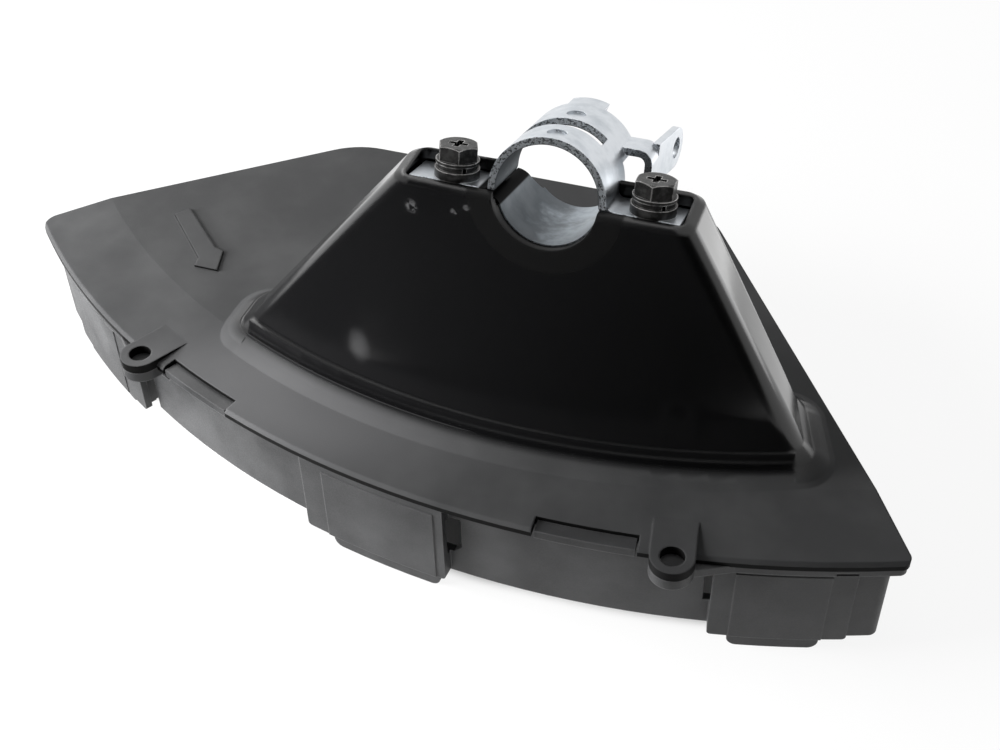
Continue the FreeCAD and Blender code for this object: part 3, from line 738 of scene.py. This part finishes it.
    def _round_tube(self, shade: Shade, place: Sock) -> Tuple[Sock, Sock]:
        """Distance from the tube's axis, and patches drawn out along that distance.

        Args:
            shade: Node tree.
            place: Coordinates.

        Returns:
            The distance in metres and the patches from 0 to 1.
        """
        across, up, radius = shade.off_axis(place)
        angle = shade.node("ShaderNodeMath", {"operation": "ARCTAN2"}, {0: up, 1: across})
        fan = shade.node("ShaderNodeCombineXYZ", {}, {0: angle, 1: radius * self.streak_squeeze})
        return radius, shade.noise(fan, self.streak)


@dataclass(frozen=True)
class DarkSteel:
    """Blackened screws and washers, rubbed bright along their edges."""

    black: Colour = (0.018, 0.0178, 0.0175)
    grey: Colour = (0.06, 0.0592, 0.0585)
    bare: Colour = (0.62, 0.61, 0.60)
    cloud: Pattern = Pattern(420.0, 5.0, 0.65)
    cloud_span: Span = (0.35, 0.7)
    fine: Pattern = Pattern(2600.0, 3.0, 0.6)
    fine_span: Span = (0.3, 0.7)
    fine_height: float = 0.6
    worn_reach: float = 0.5
    worn_span: Span = (0.25, 0.6)
    rough: Span = (0.3, 0.46)
    relief: Relief = Relief(0.25, 0.2, 0.3)
    metallic: float = 0.85

    def material(self) -> bpy.types.Material:
        """Make the finish.

        Returns:
            The material.
        """
        shade = Shade.named("dark_steel")
        place = shade.place()
        cloud = shade.noise(place, self.cloud)
        fine = shade.noise(place, self.fine)
        colour = shade.mix(shade.ramp(cloud, *self.cloud_span), self.black, self.grey)
        rubbed = shade.worn_edges(self.worn_reach) * shade.ramp(cloud, *self.worn_span)
        colour = shade.mix(rubbed, colour, self.bare)
        rough = shade.ramp(fine, *self.fine_span, *self.rough)
        normal = shade.bump(fine * self.fine_height + cloud, self.relief)
        inputs = {"Base Color": colour, "Roughness": rough, "Metallic": self.metallic, "Normal": normal}
        return shade.close(shade.principled(inputs))


def dress(nodes: Dict[str, bpy.types.Object], name: str, material: bpy.types.Material) -> None:
    """Give a CAD node its finish.

    Args:
        nodes: CAD nodes by name.
        name: Node to dress.
        material: Its finish.
    """
    mesh = nodes[name].data
    mesh.materials.clear()
    mesh.materials.append(material)
    LOG.info("dressed %s in %s", name, material.name)


@dataclass
class GuardBody:
    """Plate and tower moulded in one."""

    node: str = "guard_body"
    finish: GuardPlastic = field(default_factory=GuardPlastic)

    def dress(self, nodes: Dict[str, bpy.types.Object]) -> None:
        """Put the finish on the CAD node."""
        dress(nodes, self.node, self.finish.material())


@dataclass
class SkirtExtension:
    """Skirt that hangs under the rim."""

    node: str = "skirt_extension"
    finish: SkirtPlastic = field(default_factory=SkirtPlastic)

    def dress(self, nodes: Dict[str, bpy.types.Object]) -> None:
        """Put the finish on the CAD node."""
        dress(nodes, self.node, self.finish.material())


@dataclass
class TubeClamp:
    """Two bent sheets that grip the shaft tube, with the nuts below."""

    sheets: Tuple[str, ...] = ("clamp_saddle", "clamp_cap", "nut_left", "nut_right")
    finish: ZincSheet = field(default_factory=ZincSheet)

    def dress(self, nodes: Dict[str, bpy.types.Object]) -> None:
        """Put the finish on the CAD nodes."""
        material = self.finish.material()
        for name in self.sheets:
            dress(nodes, name, material)


@dataclass
class ScrewStacks:
    """Collar, washers and screw on each side of the ring."""

    stack: Tuple[str, ...] = ("collar", "spring_washer", "plain_washer", "clamp_bolt")
    finish: DarkSteel = field(default_factory=DarkSteel)

    def dress(self, nodes: Dict[str, bpy.types.Object]) -> None:
        """Put the finish on the CAD nodes."""
        material = self.finish.material()
        for side in Side:
            for name in self.stack:
                dress(nodes, name + "_" + side.value, material)


@dataclass(frozen=True)
class Softbox:
    """One area light that looks at a point of the part, in metres."""

    name: str
    place: Point
    target: Point
    size: Tuple[float, float]
    watts: float
    mirrored: bool = True  # whether shiny faces mirror it

    def build(self) -> bpy.types.Object:
        """Make the light.

        Returns:
            The light object.
        """
        lamp = bpy.data.lights.new(self.name, "AREA")
        lamp.shape = "RECTANGLE"
        lamp.size, lamp.size_y = self.size
        lamp.energy = self.watts
        light = bpy.data.objects.new(self.name, lamp)
        light.location = self.place
        light.visible_camera = False
        light.visible_glossy = self.mirrored
        gaze = Vector(self.target) - Vector(self.place)
        light.rotation_euler = gaze.to_track_quat("-Z", "Y").to_euler()
        bpy.context.scene.collection.objects.link(light)
        return light


@dataclass(frozen=True)
class Viewpoint:
    """Camera at the photograph's viewing angle, placed in millimetres and turned in radians."""

    place: Point = (92.754, -300.759, 213.211)
    azimuth: float = 0.35773287
    elevation: float = 0.734670674
    roll: float = 0.0238807037
    lens: float = 50.589
    sensor: float = 36.0
    clip: Span = (0.01, 50.0)

    def build(self) -> bpy.types.Object:
        """Make the camera.

        Returns:
            The camera object.
        """
        level = Vector((math.sin(self.azimuth), -math.cos(self.azimuth), 0.0))
        back = level * math.cos(self.elevation) + Vector((0.0, 0.0, math.sin(self.elevation)))
        ahead = -back
        right = ahead.cross(Vector((0, 0, 1))).normalized()
        down = ahead.cross(right)
        cosine, sine = math.cos(self.roll), math.sin(self.roll)
        turned_right = right * cosine + down * sine
        turned_down = down * cosine - right * sine
        frame = Matrix((turned_right, -turned_down, back)).transposed().to_4x4()
        data = bpy.data.cameras.new("viewpoint")
        data.lens = self.lens
        data.sensor_width = self.sensor
        data.clip_start, data.clip_end = self.clip
        camera = bpy.data.objects.new("viewpoint", data)
        camera.matrix_world = Matrix.Translation(Vector(millimetres(self.place))) @ frame
        bpy.context.scene.collection.objects.link(camera)
        bpy.context.scene.camera = camera
        return camera


def sheet(name: str, half: Tuple[float, float], middle: Point, upright: bool = False) -> bpy.types.Object:
    """Flat rectangle of the stage.

    Args:
        name: Name of the object.
        half: Half its width and half its depth or height, in metres.
        middle: Its middle.
        upright: Whether it stands, facing along Y, or lies.

    Returns:
        The object.
    """
    turn = Matrix.Rotation(math.pi / 2.0, 4, "X") if upright else Matrix.Identity(4)
    spread = Matrix.Diagonal((half[0], half[1], 1.0, 1.0))
    grid = bmesh.new()
    bmesh.ops.create_grid(grid, x_segments=1, y_segments=1, size=1.0)
    bmesh.ops.transform(grid, matrix=Matrix.Translation(middle) @ turn @ spread, verts=grid.verts)
    mesh = bpy.data.meshes.new(name)
    grid.to_mesh(mesh)
    grid.free()
    flat = bpy.data.objects.new(name, mesh)
    bpy.context.scene.collection.objects.link(flat)
    flat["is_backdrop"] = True
    return flat


@dataclass(frozen=True)
class Card:
    """Dark card beside the lights, which only mirrored rays meet."""

    name: str
    half: Tuple[float, float]
    middle: Point
    upright: bool
    tone: Colour = (0.007, 0.007, 0.007)

    def build(self) -> bpy.types.Object:
        """Make the card.

        Returns:
            The card.
        """
        card = sheet(self.name, self.half, self.middle, self.upright)
        shade = Shade.named(self.name)
        card.data.materials.append(shade.close(shade.diffuse(self.tone)))
        card.visible_camera = False
        card.visible_diffuse = False
        card.visible_shadow = False
        return card


@dataclass(frozen=True)
class Footprint:
    """Floor under the guard, which lies in its shade, in millimetres."""

    arc_centre: Point = (-0.4, 239.0, 0.0)
    arc_radius: float = 286.0
    left_inward: Point = (0.646, -0.763, 0.0)
    left_level: float = -150.0
    right_inward: Point = (-0.838, -0.545, 0.0)
    right_level: float = -71.5
    back_inward: Point = (0.0, -1.0, 0.0)
    back_level: float = -106.0
    soft: float = 8.0

    def mask(self, shade: Shade) -> Sock:
        """1 under the guard, 0 outside.

        Args:
            shade: Node tree of the floor.

        Returns:
            The mask.
        """
        place = shade.place()
        arm = shade.vector("SUBTRACT", place, millimetres(self.arc_centre))
        flat = shade.vector("MULTIPLY", arm, (1.0, 1.0, 0.0))
        reach = shade.vector("LENGTH", flat, out="Value")
        inside = shade.ramp(reach, self.arc_radius * MM, (self.arc_radius - self.soft) * MM)
        left = (self.left_inward, self.left_level)
        right = (self.right_inward, self.right_level)
        for inward, level in (left, right, (self.back_inward, self.back_level)):
            depth = shade.dot(place, inward)
            inside = inside * shade.ramp(depth, level * MM, (level + self.soft) * MM)
        return inside


@dataclass
class Studio:
    """Pale floor, soft light, dark cards and camera."""

    floor_half: float = 6.0
    floor_colour: Colour = (0.8, 0.8, 0.8)
    shadow_share: float = 0.10
    world_fill: float = 0.18
    footprint: Footprint = field(default_factory=Footprint)
    viewpoint: Viewpoint = field(default_factory=Viewpoint)
    boxes: Tuple[Softbox, ...] = (
        Softbox("box_left", (-0.68, -0.21, 0.15), (-0.10, 0.0, -0.08), (0.5, 0.35), 20.0, False),
        Softbox("box_side", (-0.43, -0.13, -0.035), (-0.18, 0.01, -0.10), (0.2, 0.03), 3.2, False),
        Softbox("box_back_left", (-0.80, 0.85, 0.72), (-0.10, 0.0, -0.07), (0.6, 0.6), 4.0),
        Softbox("box_low_right", (0.215, 0.19, -0.115), (0.16, 0.12, 0.0), (0.2, 0.26), 0.32),
        Softbox("box_top", (-0.25, 0.25, 1.1), (0.0, 0.0, -0.05), (0.7, 0.5), 2.0),
    )
    cards: Tuple[Card, ...] = (
        Card("card_low", (0.66, 0.23), (0.05, -0.32, -0.119), False),
        Card("card_near", (0.235, 0.035), (-0.375, -0.055, -0.119), False),
        Card("card_front", (1.6, 1.25), (0.2, -1.6, 1.13), True),
        Card("card_left", (0.9, 0.4), (-1.4, -0.9, 0.28), True),
    )

    def build(self, level: float) -> None:
        """Set the stage.

        Args:
            level: Height of the floor in metres.
        """
        self._floor(level)
        self._world()
        for box in self.boxes:
            box.build()
        for card in self.cards:
            card.build()
        self.viewpoint.build()
        bpy.context.scene.view_settings.view_transform = "Standard"

    def _floor(self, level: float) -> None:
        """Lay the floor.

        Args:
            level: Height of the floor in metres.
        """
        floor = sheet("floor", (self.floor_half, self.floor_half), (0.0, 0.0, level))
        shade = Shade.named("pale_floor")
        paint = shade.diffuse(self.floor_colour)
        white = shade.node("ShaderNodeEmission", {}, {"Color": WHITE, "Strength": 1.0})
        shown = shade.seen_white() * (1.0 - self.shadow_share) * (1.0 - self.footprint.mask(shade))
        floor.data.materials.append(shade.close(shade.blend(shown, paint, white)))

    def _world(self) -> None:
        """White surroundings for the eye and for reflections, softer as a light."""
        world = bpy.data.worlds.new("studio")
        shade = Shade(world)
        level = shade.ramp(shade.seen_white(), 0.0, 1.0, self.world_fill, 1.0)
        background = shade.node("ShaderNodeBackground", {}, {"Color": WHITE, "Strength": level})
        shade.node("ShaderNodeOutputWorld", {}, {"Surface": background})
        bpy.context.scene.world = world


def main() -> None:
    """Load the frame, dress every piece and set the stage."""
    logging.basicConfig(level=logging.INFO, format="%(message)s")
    for scene_object in list(bpy.data.objects):
        bpy.data.objects.remove(scene_object)
    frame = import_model()
    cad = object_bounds()
    nodes = frame["nodes"]
    for assembly in (GuardBody(), SkirtExtension(), TubeClamp(), ScrewStacks()):
        assembly.dress(nodes)
    Studio().build(cad[0].z)


if __name__ == "__main__":
    main()
